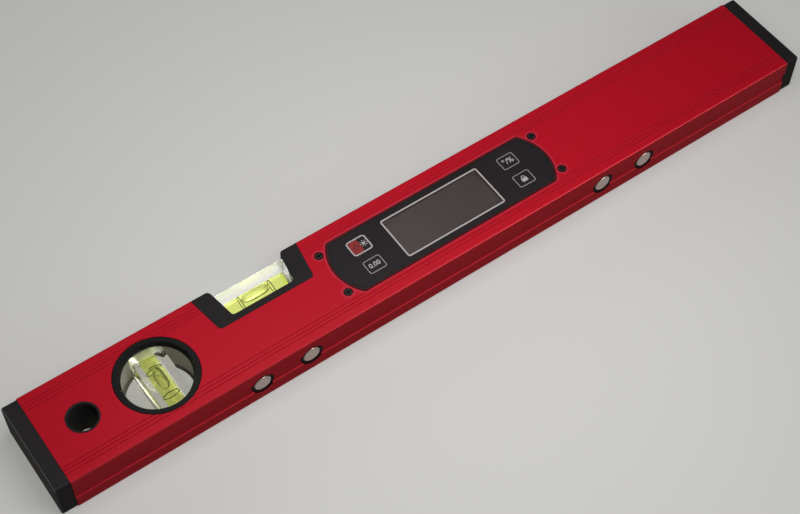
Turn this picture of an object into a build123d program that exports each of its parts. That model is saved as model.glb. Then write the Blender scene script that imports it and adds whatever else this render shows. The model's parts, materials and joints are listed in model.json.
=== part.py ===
"""Digital spirit level: a red box section with two vials, a tilt display, magnets and a hang hole."""
import os
from math import radians, sqrt, tan

from build123d import *

os.makedirs("parts", exist_ok=True)

# The level lies on its back. X runs along its length, Y from the measuring edge to the vial edge and
# Z from the back face to the display face. The origin is the middle of the back face. All in mm.

# Box section of the body
level_length = 400.0
section_height = 47.0
section_depth = 21.0
wall = 1.6
base_wall = 2.6
edge_radius = 1.0
hollow_radius = 0.6
channel_width = 6.4
channel_depth = 0.5
groove_count = 3
groove_first = 15.6
groove_pitch = 1.75
groove_width = 0.56
groove_depth = 0.3

# Clearances: bonded or clamped seats, moving keys and lids, and hinge pins
seat_gap = 0.1
key_gap = 0.15
lid_gap = 0.15
pin_gap = 0.05

# End caps, set back a little so that only the metal edges touch the work
cap_length = 7.3
cap_step = 0.25
cap_round = 0.9
plug_length = 8.0
plug_wall = 1.6

# Hang hole and its two-part bush
hang_inset = 25.5
hang_bore_radius = 6.2
bush_wall = 0.7
bush_flange_reach = 0.35
bush_flange_thickness = 0.5
bush_mouth_chamfer = 0.3

# Plumb window, measured outwards from the clear sight
plumb_inset = 60.1
plumb_sight_radius = 15.1
plumb_lip_flare = 1.1
plumb_lip_depth = 2.2
plumb_window_ledge = 1.3
plumb_window_thickness = 0.8
plumb_tube_wall = 1.1
plumb_flange_reach = 1.1
plumb_flange_thickness = 0.8
plumb_flange_round = 0.3

# Vials: crowned bores so that the bubble finds the middle
barrel_radius = 4.0
barrel_crown = 0.15
ring_width = 0.35
ring_height = 0.2

plumb_vial_shift = 1.8
plumb_block_width = 14.6
plumb_block_inset = 1.6
plumb_block_floor = 2.6
plumb_plug_length = 3.6
plumb_ring_spacing = 13.6
plumb_bubble_length = 10.8
plumb_bubble_radius = 2.6
plumb_bubble_drift = 1.4

level_block_height = 12.8
level_block_recess = 0.5
level_block_round = 0.4
level_plug_length = 1.2
level_plug_recess = 0.28
level_ring_spacing = 15.4
level_bubble_length = 12.5
level_bubble_radius = 2.4
bubble_breakout = 0.3
peg_radius = 1.25
peg_length = 2.5
peg_spacing = 18.0

# Notch in the top edge and the cradle that lines it
notch_inset = 116.9
notch_depth = 19.8
notch_floor_width = 47.4
notch_flare = 3.15
notch_corner = 2.0
cradle_floor = 3.3
cradle_sight_width = 30.8
cradle_sight_corner = 1.5
cradle_horn_round = 3.0
cradle_lip_reach = 1.5
cradle_lip_rise = 8.3

# Magnets in the measuring edge, two pairs
magnet_radius = 4.25
magnet_thickness = 3.5
magnet_chamfer = 0.4
cup_wall = 0.85
cup_floor = 0.8
magnet_spacing = 24.6
left_pair_inset = 109.0
right_pair_inset = 107.0

# Display panel
module_gap = 1.1
panel_length = 115.6
panel_height = 30.2
panel_bow = 5.6
panel_corner = 2.0
panel_edge_break = 0.25
panel_edge_angle = 45.0
screw_beyond_panel = 0.65
screw_inside_panel = 3.7
screw_head_radius = 1.9
screw_head_angle = 90.0
screw_radius = 1.0
screw_length = 6.8
screw_sink = 0.05
recess_width = 0.55
recess_depth = 0.7
boss_radius = 2.8
boss_length = 4.2
housing_margin = 0.4
housing_side = 2.2
housing_flange = 1.6
film_inset = 1.2
film_recess = 0.05
film_thickness = 0.3
deck_thickness = 1.2
lens_length = 53.0
lens_height = 23.0
lens_thickness = 0.9
lens_corner = 1.2
lens_ledge = 0.9
lcd_margin = 2.0
lcd_thickness = 2.2
strip_width = 1.8
strip_height = 1.2
strip_inset = 0.6

# Circuit board and what it carries
board_thickness = 1.0
board_height = 29.0
board_margin = 2.5
post_from_key = 8.6
post_radius = 2.0
board_screw_radius = 0.8
board_screw_head_radius = 1.7
board_screw_head = 1.1
board_screw_bite = 1.0
switch_size = 6.0
switch_height = 1.6
plunger_radius = 1.5
plunger_rise = 0.5
plunger_sink = 0.7
chip_size = 10.0
chip_height = 1.0
sensor_size = 4.0
sensor_height = 1.4
sensor_from_middle = 38.0

# Keys
key_from_end = 16.9
key_row = 6.0
key_width = 8.9
key_height = 7.4
power_width = 10.0
power_height = 8.6
key_corner = 1.6
key_travel = 0.35
key_play = 0.1
key_flange_reach = 0.7
key_flange = 0.6
key_pocket_gap = 0.3
key_stem_radius = 1.4

# Battery compartment behind the display, two AAA cells side by side
cell_diameter = 10.5
cell_length = 44.5
nub_radius = 1.9
nub_length = 1.0
cell_gap = 0.4
cell_play = 0.15
cell_side_play = 0.25
leaf_space = 4.2
contact_thickness = 0.4
contact_width = 6.0
contact_foot = 2.4
leaf_width = 5.0
leaf_spread = 3.4
leaf_return = 0.8
box_wall = 2.2
box_roof = 0.6
box_corner = 2.0
box_flange_reach = 1.2
box_flange = 0.8
hook_reach = 0.6
hook_rise = 1.5
hook_width = 6.0
door_recess = 0.3
door_thickness = 1.2
door_lap = 0.6
door_seat_gap = 0.1
pin_radius = 0.5
pin_length = 0.9
scoop_radius = 4.0
scoop_depth = 0.5

# Places that follow from the sizes
profile_length = level_length - 2 * cap_length
half_height = section_height / 2
mid_z = section_depth / 2
hollow_height = section_height - wall - base_wall
hollow_depth = section_depth - 2 * wall
hollow_y = (base_wall - wall) / 2
inner_front = section_depth - wall

hang_x = hang_inset - level_length / 2
bush_radius = hang_bore_radius + bush_wall
bush_flange_radius = bush_radius + bush_flange_reach

plumb_x = plumb_inset - level_length / 2
plumb_lip_radius = plumb_sight_radius + plumb_lip_flare
plumb_tube_bore = plumb_sight_radius + plumb_window_ledge
plumb_tube_radius = plumb_tube_bore + plumb_tube_wall
plumb_flange_radius = plumb_tube_radius + plumb_flange_reach
plumb_vial_x = plumb_x + plumb_vial_shift
plumb_window_top = section_depth - plumb_lip_depth
plumb_block_top = plumb_window_top - plumb_window_thickness
plumb_block_length = 2 * (plumb_tube_bore - plumb_block_inset)
plumb_barrel_length = plumb_block_length - plumb_plug_length - plumb_block_floor
plumb_barrel_end = plumb_block_length / 2 - plumb_plug_length
plumb_barrel_y = plumb_barrel_end - plumb_barrel_length / 2

notch_x = notch_inset - level_length / 2
notch_y = half_height - notch_depth
notch_slope = notch_flare / notch_depth
notch_top_width = notch_floor_width + 2 * notch_flare
sight_y = notch_y + cradle_floor
level_block_top = sight_y + level_block_height
level_vial_y = sight_y + level_block_height / 2
level_plug_rise = level_block_height / 2 - barrel_radius
level_plug_end = cradle_sight_width / 2 - seat_gap + notch_slope * level_plug_rise - level_plug_recess
level_barrel_length = 2 * (level_plug_end - level_plug_length)

magnet_xs = [
    middle + side * magnet_spacing / 2
    for middle in (left_pair_inset - level_length / 2, level_length / 2 - right_pair_inset)
    for side in (-1, 1)
]
cup_radius = magnet_radius + seat_gap + cup_wall

screw_x = panel_length / 2 + screw_beyond_panel
screw_y = panel_height / 2 - screw_inside_panel
housing_length = 2 * (screw_x + boss_radius + housing_margin)
housing_height = panel_height + 2 * housing_side
module_x = notch_x + notch_top_width / 2 + module_gap + housing_length / 2
flange_bottom = inner_front - housing_flange
panel_top = section_depth - film_recess
film_bottom = panel_top - film_thickness
deck_bottom = film_bottom - deck_thickness
lens_bottom = panel_top - lens_thickness
lcd_length = lens_length + 2 * lcd_margin
lcd_height = lens_height + 2 * lcd_margin
lcd_bottom = deck_bottom - lcd_thickness
board_top = lcd_bottom - strip_height
board_bottom = board_top - board_thickness
key_column = panel_length / 2 - key_from_end
post_x = key_column + post_from_key
board_length = 2 * (post_x + board_margin)
screw_spots = [(module_x + i * screw_x, j * screw_y) for i in (-1, 1) for j in (-1, 1)]
post_spots = [(module_x + i * post_x, 0) for i in (-1, 1)]

key_flange_top = deck_bottom - key_play
key_flange_bottom = key_flange_top - key_flange
switch_top = board_top + switch_height
plunger_top = switch_top + plunger_rise
keys = {
    "power": (-key_column, key_row, power_width, power_height),
    "zero": (-key_column, -key_row, key_width, key_height),
    "mode": (key_column, key_row, key_width, key_height),
    "hold": (key_column, -key_row, key_width, key_height),
}

cell_radius = cell_diameter / 2
cell_y = cell_radius + cell_gap / 2
pocket_length = cell_length + leaf_space + 2 * contact_thickness
pocket_width = 2 * (cell_y + cell_radius + cell_side_play)
pocket_left = module_x - pocket_length / 2
pocket_right = module_x + pocket_length / 2
door_inside = door_recess + door_thickness
cell_z = door_inside + cell_play + cell_radius
pocket_top = cell_z + cell_radius + cell_play
box_depth = pocket_top + box_roof
box_length = pocket_length + 2 * box_wall
box_width = pocket_width + 2 * box_wall
door_length = pocket_length + 2 * door_lap
door_width = pocket_width + 2 * door_lap
hinge_x = module_x - door_length / 2 + door_thickness / 2
hinge_z = door_recess + door_thickness / 2

CENTER_DOWN = (Align.CENTER, Align.CENTER, Align.MAX)
CENTER_UP = (Align.CENTER, Align.CENTER, Align.MIN)


def save(piece, name):
    """Label a finished piece and write it."""
    piece.part.label = name
    export_step(piece.part, f"parts/{name}.step")


def module_plane(z):
    """Plane of the display module at height z, with its origin at the module's middle."""
    return Plane((module_x, 0, z))


def trapezoid(floor_width, floor_y, top_y, grow, corner):
    """Notch-shaped face about the notch's middle: slanted sides, rounded floor corners."""
    low = floor_width / 2 + grow
    high = low + notch_slope * (top_y - floor_y)
    with BuildLine() as outline:
        Polyline((-low, floor_y), (low, floor_y), (high, top_y), (-high, top_y), close=True)
    make_face(outline.edges())
    fillet(vertices().group_by(Axis.Y)[0], corner)


def sight_outline():
    """Cradle's opening about the notch's middle: slanted sides that round over onto the horns."""
    low = cradle_sight_width / 2
    high = low + notch_slope * (half_height - sight_y)
    far = notch_top_width / 2
    above = half_height + wall
    with BuildLine() as outline:
        Polyline(
            (-low, sight_y),
            (low, sight_y),
            (high, half_height),
            (far, half_height),
            (far, above),
            (-far, above),
            (-far, half_height),
            (-high, half_height),
            close=True,
        )
    make_face(outline.edges())
    fillet(vertices().group_by(Axis.Y)[0], cradle_sight_corner)
    fillet(vertices().group_by(Axis.Y)[-2].sort_by(Axis.X)[1:3], cradle_horn_round)


def panel_outline(grow):
    """Display panel's face: straight long sides and bowed ends."""
    long_half = panel_length / 2 + grow
    short_half = panel_height / 2 + grow
    knee = long_half - panel_bow
    with BuildLine() as outline:
        Line((-knee, short_half), (knee, short_half))
        ThreePointArc((knee, short_half), (long_half, 0), (knee, -short_half))
        Line((knee, -short_half), (-knee, -short_half))
        ThreePointArc((-knee, -short_half), (-long_half, 0), (-knee, short_half))
    make_face(outline.edges())
    fillet(vertices(), panel_corner)


def barrel_outline(length):
    """Half section of a vial bore along the sketch's X axis."""
    half = length / 2
    end_radius = barrel_radius - barrel_crown
    with BuildLine() as outline:
        ThreePointArc((-half, end_radius), (0, barrel_radius), (half, end_radius))
        Polyline((half, end_radius), (half, 0), (-half, 0), (-half, end_radius))
    make_face(outline.edges())


def bubble_outline(length, radius):
    """Half section of a long bubble with round ends along the sketch's X axis."""
    half = length / 2
    shoulder = half - radius
    with BuildLine() as outline:
        Line((-half, 0), (half, 0))
        RadiusArc((half, 0), (shoulder, radius), -radius)
        Line((shoulder, radius), (-shoulder, radius))
        RadiusArc((-shoulder, radius), (-half, 0), -radius)
    make_face(outline.edges())


def barrel_radius_at(along, length):
    """Bore radius at a distance from the middle of a barrel of this length."""
    arc_radius = ((length / 2) ** 2 + barrel_crown**2) / (2 * barrel_crown)
    return barrel_radius - (arc_radius - sqrt(arc_radius**2 - along**2))


def ring_outlines(length, spacing, reach):
    """Half sections of a vial's two reading rings, reaching past the bore wall by reach."""
    wall_radius = barrel_radius_at((spacing + ring_width) / 2, length)
    for along in (-spacing / 2, spacing / 2):
        with Locations((along, wall_radius + reach)):
            Rectangle(ring_width, ring_height + reach, align=(Align.CENTER, Align.MAX))


def vial_fluid(plane, length, spacing, bubble_length, bubble_radius, drift):
    """Fluid in a vial: the bore's shape less its rings and the bubble under the display side."""
    axis = Axis(plane.origin, plane.x_dir)
    rise = barrel_radius - bubble_radius + bubble_breakout
    bubble_plane = Plane(plane.origin + plane.x_dir * drift + Vector(0, 0, rise), plane.x_dir, plane.z_dir)
    with BuildPart() as fluid:
        with BuildSketch(plane):
            barrel_outline(length)
        revolve(axis=axis)
        with BuildSketch(plane):
            ring_outlines(length, spacing, ring_height)
        revolve(axis=axis, mode=Mode.SUBTRACT)
        with BuildSketch(bubble_plane):
            bubble_outline(bubble_length, bubble_radius)
        revolve(axis=Axis(bubble_plane.origin, plane.x_dir), mode=Mode.SUBTRACT)
    return fluid


def vial_rings(plane, length, spacing):
    """Two thin dark rings set in the bore wall at the ends of the bubble's run."""
    with BuildPart() as rings:
        with BuildSketch(plane):
            ring_outlines(length, spacing, 0)
        revolve(axis=Axis(plane.origin, plane.x_dir))
    return rings


plumb_vial_plane = Plane((plumb_vial_x, plumb_barrel_y, mid_z), (0, 1, 0), (0, 0, 1))
level_vial_plane = Plane((notch_x, level_vial_y, mid_z), (1, 0, 0), (0, 0, 1))

# Body: extruded box section with fine grooves on both faces and a shallow channel in the measuring edge
with BuildPart() as body_profile:
    with BuildSketch(Plane.YZ.offset(-profile_length / 2)):
        with Locations((0, mid_z)):
            RectangleRounded(section_height, section_depth, edge_radius)
        with Locations((hollow_y, mid_z)):
            RectangleRounded(hollow_height, hollow_depth, hollow_radius, mode=Mode.SUBTRACT)
        with Locations((-half_height, mid_z)):
            mouth = channel_width / 2
            floor = mouth - channel_depth
            Polygon(
                (-channel_depth, mouth + channel_depth),
                (channel_depth, floor),
                (channel_depth, -floor),
                (-channel_depth, -mouth - channel_depth),
                mode=Mode.SUBTRACT,
            )
        for index in range(groove_count):
            across = groove_first + index * groove_pitch
            for face_z, outward in ((section_depth, groove_depth), (0, -groove_depth)):
                with Locations((across, face_z), (-across, face_z)):
                    Polygon(
                        (-groove_width, outward),
                        (0, -outward),
                        (groove_width, outward),
                        mode=Mode.SUBTRACT,
                    )
    extrude(amount=profile_length)
    # Notch for the level vial, through both faces and the top edge
    with BuildSketch(Plane((notch_x, 0, 0))):
        trapezoid(notch_floor_width, notch_y, half_height + wall, 0, notch_corner)
    extrude(amount=section_depth, mode=Mode.SUBTRACT)
    # Through holes for the plumb window and the hang bush, with flush seats for their flanges
    with BuildSketch():
        with Locations((plumb_x, 0)):
            Circle(plumb_tube_radius + seat_gap)
        with Locations((hang_x, 0)):
            Circle(bush_radius + seat_gap)
    extrude(amount=section_depth, mode=Mode.SUBTRACT)
    for face_z, inward in ((0, 1), (section_depth, -1)):
        with BuildSketch(Plane((plumb_x, 0, face_z))):
            Circle(plumb_flange_radius + seat_gap)
        extrude(amount=inward * plumb_flange_thickness, mode=Mode.SUBTRACT)
        with BuildSketch(Plane((hang_x, 0, face_z))):
            Circle(bush_flange_radius + seat_gap)
        extrude(amount=inward * bush_flange_thickness, mode=Mode.SUBTRACT)
    # Display cut-out in the front wall and its countersunk screw holes
    with BuildSketch(module_plane(section_depth)):
        panel_outline(0)
    extrude(amount=-(wall + hollow_radius), mode=Mode.SUBTRACT)
    with BuildSketch(module_plane(section_depth)):
        panel_outline(panel_edge_break)
    extrude(amount=-panel_edge_break, taper=panel_edge_angle, mode=Mode.SUBTRACT)
    with Locations(*[(x, y, section_depth) for x, y in screw_spots]):
        CounterSinkHole(screw_radius + seat_gap, screw_head_radius + seat_gap, wall, screw_head_angle)
    # Battery box cut-out in the back wall
    with BuildSketch(module_plane(0)):
        Rectangle(box_length + 2 * seat_gap, box_width + 2 * seat_gap)
    extrude(amount=wall + hollow_radius, mode=Mode.SUBTRACT)
    with BuildSketch(module_plane(0)):
        RectangleRounded(
            box_length + 2 * (box_flange_reach + seat_gap),
            box_width + 2 * (box_flange_reach + seat_gap),
            box_corner + seat_gap,
        )
    extrude(amount=box_flange, mode=Mode.SUBTRACT)
    # Magnet holes in the measuring edge
    with BuildSketch(Plane.XZ.offset(half_height)):
        with Locations(*[(x, mid_z) for x in magnet_xs]):
            Circle(cup_radius + seat_gap)
    extrude(amount=-(base_wall + hollow_radius), mode=Mode.SUBTRACT)
save(body_profile, "body_profile")

# End caps: a rounded head outside and a hollow plug inside the section
for side, name in ((-1, "left_end_cap"), (1, "right_end_cap")):
    end_plane = Plane.YZ.offset(side * profile_length / 2)
    with BuildPart() as end_cap:
        with BuildSketch(end_plane):
            with Locations((0, mid_z)):
                RectangleRounded(
                    section_height - 2 * cap_step, section_depth - 2 * cap_step, edge_radius + cap_step
                )
        extrude(amount=side * cap_length)
        fillet(faces().sort_by(Axis.X)[0 if side < 0 else -1].edges(), cap_round)
        with BuildSketch(end_plane):
            with Locations((hollow_y, mid_z)):
                RectangleRounded(hollow_height - 2 * seat_gap, hollow_depth - 2 * seat_gap, hollow_radius)
                Rectangle(
                    hollow_height - 2 * (seat_gap + plug_wall),
                    hollow_depth - 2 * (seat_gap + plug_wall),
                    mode=Mode.SUBTRACT,
                )
        extrude(amount=-side * plug_length)
    save(end_cap, name)

# Hang bush: two flanged halves that meet at mid depth
for face_z, outward, name in ((section_depth, 1, "hang_bush_front"), (0, -1, "hang_bush_rear")):
    with BuildPart() as hang_bush:
        with BuildSketch(Plane((hang_x, 0, face_z))):
            Circle(bush_radius)
        extrude(amount=-outward * section_depth / 2)
        with BuildSketch(Plane((hang_x, 0, face_z))):
            Circle(bush_flange_radius)
        extrude(amount=-outward * bush_flange_thickness)
        with BuildSketch(Plane((hang_x, 0, face_z))):
            Circle(hang_bore_radius)
        extrude(amount=-outward * section_depth / 2, mode=Mode.SUBTRACT)
        mouth = faces().sort_by(Axis.Z)[-1 if outward > 0 else 0].edges().sort_by(SortBy.RADIUS)[0]
        chamfer(mouth, bush_mouth_chamfer)
    save(hang_bush, name)

# Plumb window bezels: a flush flange, a flared lip, a ledge for the window and a tube to mid depth
for sight_dir, name in (((0, -1, 0), "plumb_bezel_front"), ((0, 1, 0), "plumb_bezel_rear")):
    with BuildPart() as plumb_bezel:
        with BuildSketch(Plane((plumb_x, 0, mid_z), (1, 0, 0), sight_dir)):
            with BuildLine():
                Polyline(
                    (plumb_tube_bore, 0),
                    (plumb_tube_radius, 0),
                    (plumb_tube_radius, mid_z - plumb_flange_thickness),
                    (plumb_flange_radius, mid_z - plumb_flange_thickness),
                    (plumb_flange_radius, mid_z - plumb_flange_round),
                    (plumb_flange_radius - plumb_flange_round, mid_z),
                    (plumb_lip_radius, mid_z),
                    (plumb_sight_radius, mid_z - plumb_lip_depth),
                    (plumb_tube_bore, mid_z - plumb_lip_depth),
                    close=True,
                )
            make_face()
        revolve(axis=Axis((plumb_x, 0, 0), (0, 0, 1)))
    save(plumb_bezel, name)

# Clear windows under the bezel ledges
for window_z, name in (
    (plumb_block_top, "plumb_window_front"),
    (plumb_lip_depth, "plumb_window_rear"),
):
    with BuildPart() as plumb_window:
        with BuildSketch(Plane((plumb_x, 0, window_z))):
            Circle(plumb_tube_bore - seat_gap)
        extrude(amount=plumb_window_thickness)
    save(plumb_window, name)

# Plumb vial: a clear block trimmed to the tube and clamped between the windows
with BuildPart() as plumb_vial_block:
    with BuildSketch(Plane((plumb_x, 0, section_depth - plumb_block_top))):
        with Locations((plumb_vial_shift, 0)):
            Rectangle(plumb_block_width, plumb_block_length)
        Circle(plumb_tube_bore - seat_gap, mode=Mode.INTERSECT)
    extrude(amount=2 * plumb_block_top - section_depth)
    with BuildSketch(plumb_vial_plane):
        barrel_outline(plumb_barrel_length)
    revolve(axis=Axis(plumb_vial_plane.origin, plumb_vial_plane.x_dir), mode=Mode.SUBTRACT)
    with BuildSketch(Plane((plumb_vial_x, plumb_barrel_end, mid_z), (1, 0, 0), (0, 1, 0))):
        Circle(barrel_radius - barrel_crown)
    extrude(amount=plumb_tube_bore, mode=Mode.SUBTRACT)
save(plumb_vial_block, "plumb_vial_block")

with BuildPart() as plumb_vial_plug:
    with BuildSketch(Plane((plumb_vial_x, plumb_barrel_end, mid_z), (1, 0, 0), (0, 1, 0))):
        Circle(barrel_radius - barrel_crown)
    extrude(amount=plumb_plug_length)
save(plumb_vial_plug, "plumb_vial_plug")

plumb_vial_fluid = vial_fluid(
    plumb_vial_plane,
    plumb_barrel_length,
    plumb_ring_spacing,
    plumb_bubble_length,
    plumb_bubble_radius,
    plumb_bubble_drift,
)
save(plumb_vial_fluid, "plumb_vial_fluid")
plumb_vial_rings = vial_rings(plumb_vial_plane, plumb_barrel_length, plumb_ring_spacing)
save(plumb_vial_rings, "plumb_vial_rings")

# Cradle: a slanted U that fills the notch, with lips behind both walls and a floor for the vial
with BuildPart() as vial_cradle:
    with BuildSketch(Plane((notch_x, 0, 0))):
        trapezoid(notch_floor_width, notch_y + seat_gap, half_height, -seat_gap, notch_corner)
    extrude(amount=section_depth)
    with BuildSketch(Plane((notch_x, 0, wall + seat_gap))):
        trapezoid(
            notch_floor_width,
            notch_y - cradle_lip_reach,
            notch_y + cradle_lip_rise,
            cradle_lip_reach,
            notch_corner + cradle_lip_reach,
        )
    extrude(amount=hollow_depth - 2 * seat_gap)
    fillet(faces().sort_by(Axis.Y)[-1].edges().filter_by(Axis.X), edge_radius)
    with BuildSketch(Plane((notch_x, 0, 0))):
        sight_outline()
    extrude(amount=section_depth, mode=Mode.SUBTRACT)
    with Locations((notch_x, sight_y, mid_z)):
        with Locations((-peg_spacing / 2, 0, 0), (peg_spacing / 2, 0, 0)):
            Cylinder(
                peg_radius + seat_gap,
                2 * (peg_length + seat_gap),
                rotation=(90, 0, 0),
                mode=Mode.SUBTRACT,
            )
save(vial_cradle, "vial_cradle")

# Level vial: a clear block with slanted ends, standing on two pegs in the cradle's floor
with BuildPart() as level_vial_block:
    with BuildSketch(Plane((notch_x, 0, level_block_recess))):
        trapezoid(cradle_sight_width, sight_y, level_block_top, -seat_gap, cradle_sight_corner)
    extrude(amount=section_depth - 2 * level_block_recess)
    fillet(faces().sort_by(Axis.Y)[-1].edges(), level_block_round)
    with Locations((notch_x, sight_y, mid_z)):
        with Locations((-peg_spacing / 2, 0, 0), (peg_spacing / 2, 0, 0)):
            Cylinder(peg_radius, 2 * peg_length, rotation=(90, 0, 0))
    with BuildSketch(level_vial_plane):
        barrel_outline(level_barrel_length)
    revolve(axis=Axis(level_vial_plane.origin, level_vial_plane.x_dir), mode=Mode.SUBTRACT)
    with BuildSketch(Plane((notch_x + level_barrel_length / 2, level_vial_y, mid_z), (0, 1, 0), (1, 0, 0))):
        Circle(barrel_radius - barrel_crown)
    extrude(amount=notch_floor_width / 2, mode=Mode.SUBTRACT)
save(level_vial_block, "level_vial_block")

with BuildPart() as level_vial_plug:
    with BuildSketch(Plane((notch_x + level_barrel_length / 2, level_vial_y, mid_z), (0, 1, 0), (1, 0, 0))):
        Circle(barrel_radius - barrel_crown)
    extrude(amount=level_plug_length)
save(level_vial_plug, "level_vial_plug")

level_vial_fluid = vial_fluid(
    level_vial_plane,
    level_barrel_length,
    level_ring_spacing,
    level_bubble_length,
    level_bubble_radius,
    0,
)
save(level_vial_fluid, "level_vial_fluid")
level_vial_rings = vial_rings(level_vial_plane, level_barrel_length, level_ring_spacing)
save(level_vial_rings, "level_vial_rings")

# Magnets level with the channel floor, each in a pressed plastic cup
magnet_plane = Plane.XZ.offset(half_height - channel_depth)
magnet_spots = [(x, mid_z) for x in magnet_xs]
with BuildPart() as magnet_cups:
    with BuildSketch(magnet_plane):
        with Locations(*magnet_spots):
            Circle(cup_radius)
    extrude(amount=-(magnet_thickness + cup_floor))
    with BuildSketch(magnet_plane):
        with Locations(*magnet_spots):
            Circle(magnet_radius + seat_gap)
    extrude(amount=-magnet_thickness, mode=Mode.SUBTRACT)
save(magnet_cups, "magnet_cups")

with BuildPart() as base_magnets:
    with BuildSketch(magnet_plane):
        with Locations(*magnet_spots):
            Circle(magnet_radius)
    extrude(amount=-magnet_thickness)
    chamfer(edges().filter_by(GeomType.CIRCLE).group_by(Axis.Y)[0], magnet_chamfer)
save(base_magnets, "base_magnets")

# Display housing: a flange behind the front wall and a deck that fills the cut-out
with BuildPart() as display_housing:
    with BuildSketch(module_plane(flange_bottom)):
        Rectangle(housing_length, housing_height)
    extrude(amount=housing_flange)
    with BuildSketch(module_plane(flange_bottom)):
        panel_outline(-seat_gap)
    extrude(amount=section_depth - flange_bottom)
    # Seats for the film, the lens and the glass, from the front and from behind
    with BuildSketch(module_plane(film_bottom)):
        panel_outline(-film_inset)
    extrude(amount=section_depth - film_bottom, mode=Mode.SUBTRACT)
    with BuildSketch(module_plane(lens_bottom)):
        RectangleRounded(lens_length + 2 * seat_gap, lens_height + 2 * seat_gap, lens_corner)
    extrude(amount=lens_thickness, mode=Mode.SUBTRACT)
    with BuildSketch(module_plane(deck_bottom)):
        Rectangle(lens_length - 2 * lens_ledge, lens_height - 2 * lens_ledge)
    extrude(amount=deck_thickness, mode=Mode.SUBTRACT)
    with BuildSketch(module_plane(flange_bottom)):
        Rectangle(lcd_length + 2 * seat_gap, lcd_height + 2 * seat_gap)
    extrude(amount=deck_bottom - flange_bottom, mode=Mode.SUBTRACT)
    # Key apertures and the pockets that hold the keys' flanges
    with BuildSketch(module_plane(deck_bottom)):
        for x, y, width, height in keys.values():
            with Locations((x, y)):
                RectangleRounded(width + 2 * key_gap, height + 2 * key_gap, key_corner + key_gap)
    extrude(amount=deck_thickness, mode=Mode.SUBTRACT)
    with BuildSketch(module_plane(flange_bottom)):
        for x, y, width, height in keys.values():
            with Locations((x, y)):
                spread = 2 * (key_flange_reach + key_pocket_gap)
                Rectangle(width + spread, height + spread)
    extrude(amount=deck_bottom - flange_bottom, mode=Mode.SUBTRACT)
    # Bosses for the four front screws and posts for the board
    with Locations(*[(x, y, flange_bottom) for x, y in screw_spots]):
        Cylinder(boss_radius, boss_length, align=CENTER_DOWN)
    with Locations(*[(x, y, flange_bottom) for x, y in post_spots]):
        Cylinder(post_radius, flange_bottom - board_top, align=CENTER_DOWN)
    with Locations(*[(x, y, inner_front) for x, y in screw_spots]):
        Cylinder(
            screw_radius + pin_gap,
            boss_length + housing_flange,
            align=CENTER_DOWN,
            mode=Mode.SUBTRACT,
        )
    with Locations(*[(x, y, board_top) for x, y in post_spots]):
        Cylinder(
            board_screw_radius + pin_gap,
            flange_bottom - board_top + board_screw_bite + seat_gap,
            align=CENTER_UP,
            mode=Mode.SUBTRACT,
        )
save(display_housing, "display_housing")

# Overlay film with apertures for the lens and the keys
with BuildPart() as overlay_film:
    with BuildSketch(module_plane(film_bottom)):
        panel_outline(-film_inset - seat_gap)
        RectangleRounded(
            lens_length + 2 * seat_gap, lens_height + 2 * seat_gap, lens_corner, mode=Mode.SUBTRACT
        )
        for x, y, width, height in keys.values():
            with Locations((x, y)):
                RectangleRounded(
                    width + 2 * key_gap, height + 2 * key_gap, key_corner + key_gap, mode=Mode.SUBTRACT
                )
    extrude(amount=film_thickness)
save(overlay_film, "overlay_film")

with BuildPart() as display_lens:
    with BuildSketch(module_plane(lens_bottom)):
        RectangleRounded(lens_length, lens_height, lens_corner)
    extrude(amount=lens_thickness)
save(display_lens, "display_lens")

# Display glass and the two elastic strips that join it to the board
with BuildPart() as lcd_panel:
    with BuildSketch(module_plane(lcd_bottom)):
        Rectangle(lcd_length, lcd_height)
    extrude(amount=lcd_thickness)
save(lcd_panel, "lcd_panel")

strip_y = lcd_height / 2 - strip_inset - strip_width / 2
with BuildPart() as contact_strips:
    with BuildSketch(module_plane(board_top)):
        with Locations((0, strip_y), (0, -strip_y)):
            Rectangle(lens_length - 2 * lens_ledge, strip_width)
    extrude(amount=strip_height)
save(contact_strips, "contact_strips")

# Circuit board, its screws, chips and switches
with BuildPart() as circuit_board:
    with BuildSketch(module_plane(board_bottom)):
        Rectangle(board_length, board_height)
        with Locations((-post_x, 0), (post_x, 0)):
            Circle(board_screw_radius + seat_gap, mode=Mode.SUBTRACT)
    extrude(amount=board_thickness)
save(circuit_board, "circuit_board")

with BuildPart() as board_screws:
    with Locations(*[(x, y, board_bottom) for x, y in post_spots]):
        Cylinder(board_screw_head_radius, board_screw_head, align=CENTER_DOWN)
        Cylinder(
            board_screw_radius,
            flange_bottom - board_bottom + board_screw_bite,
            align=CENTER_UP,
        )
save(board_screws, "board_screws")

with BuildPart() as controller_chip:
    with BuildSketch(module_plane(board_top)):
        Rectangle(chip_size, chip_size)
    extrude(amount=chip_height)
save(controller_chip, "controller_chip")

with BuildPart() as tilt_sensor:
    with BuildSketch(module_plane(board_bottom)):
        with Locations((sensor_from_middle, 0)):
            Rectangle(sensor_size, sensor_size)
    extrude(amount=-sensor_height)
save(tilt_sensor, "tilt_sensor")

with BuildPart() as tact_switches:
    with BuildSketch(module_plane(board_top)):
        with GridLocations(2 * key_column, 2 * key_row, 2, 2):
            Rectangle(switch_size, switch_size)
    extrude(amount=switch_height)
    with BuildSketch(module_plane(switch_top)):
        with GridLocations(2 * key_column, 2 * key_row, 2, 2):
            Circle(plunger_radius + seat_gap)
    extrude(amount=-(plunger_sink + key_travel + seat_gap), mode=Mode.SUBTRACT)
save(tact_switches, "tact_switches")

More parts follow.
